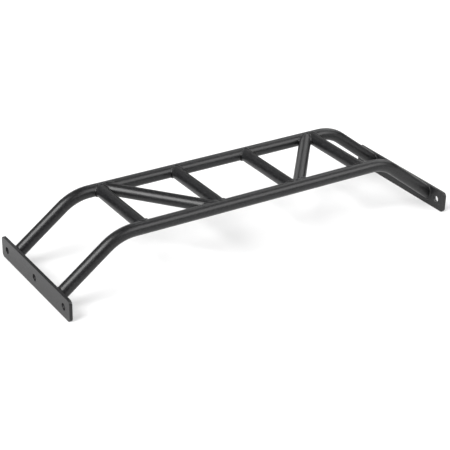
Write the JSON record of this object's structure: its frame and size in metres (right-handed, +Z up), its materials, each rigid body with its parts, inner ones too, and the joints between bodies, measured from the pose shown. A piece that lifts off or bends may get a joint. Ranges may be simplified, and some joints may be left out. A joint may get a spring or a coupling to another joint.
{
  "type": "multi-grip pull-up bar",
  "caption": "Two bent round tubes joined by straight and angled cross grips, with a drilled flat plate welded across each end to bolt it between the sides of a rack.",
  "frame": {"origin": "middle of the footprint, level with the lower edges of the end plates, on which the bar stands when it isn't mounted", "axes": "+X along the rails to the user's right, +Y to the rear (the angled grips spread apart towards it), +Z up"},
  "size_m": [1.092, 0.366, 0.168],
  "materials": {
    "powder_coat": "fine-textured satin black powder coat over steel",
    "coated_weld": "rippled weld bead under the same satin black powder coat"
  },
  "bodies": {
    "root": {"front_rail": "powder_coat", "rear_rail": "powder_coat", "left_end_plate": "powder_coat", "left_outer_grip": "powder_coat", "left_angled_grip": "powder_coat", "left_inner_grip": "powder_coat", "right_end_plate": "powder_coat", "right_outer_grip": "powder_coat", "right_angled_grip": "powder_coat", "right_inner_grip": "powder_coat", "left_outer_grip_front_weld": "coated_weld", "left_angled_grip_front_weld": "coated_weld", "left_inner_grip_front_weld": "coated_weld", "left_front_leg_weld": "coated_weld", "left_outer_grip_rear_weld": "coated_weld", "left_angled_grip_rear_weld": "coated_weld", "left_inner_grip_rear_weld": "coated_weld", "left_rear_leg_weld": "coated_weld", "left_outer_grip_seam_weld": "coated_weld", "left_inner_grip_seam_weld": "coated_weld", "right_outer_grip_front_weld": "coated_weld", "right_angled_grip_front_weld": "coated_weld", "right_inner_grip_front_weld": "coated_weld", "right_front_leg_weld": "coated_weld", "right_outer_grip_rear_weld": "coated_weld", "right_angled_grip_rear_weld": "coated_weld", "right_inner_grip_rear_weld": "coated_weld", "right_rear_leg_weld": "coated_weld", "right_outer_grip_seam_weld": "coated_weld", "right_inner_grip_seam_weld": "coated_weld"}
  },
  "joints": []
}
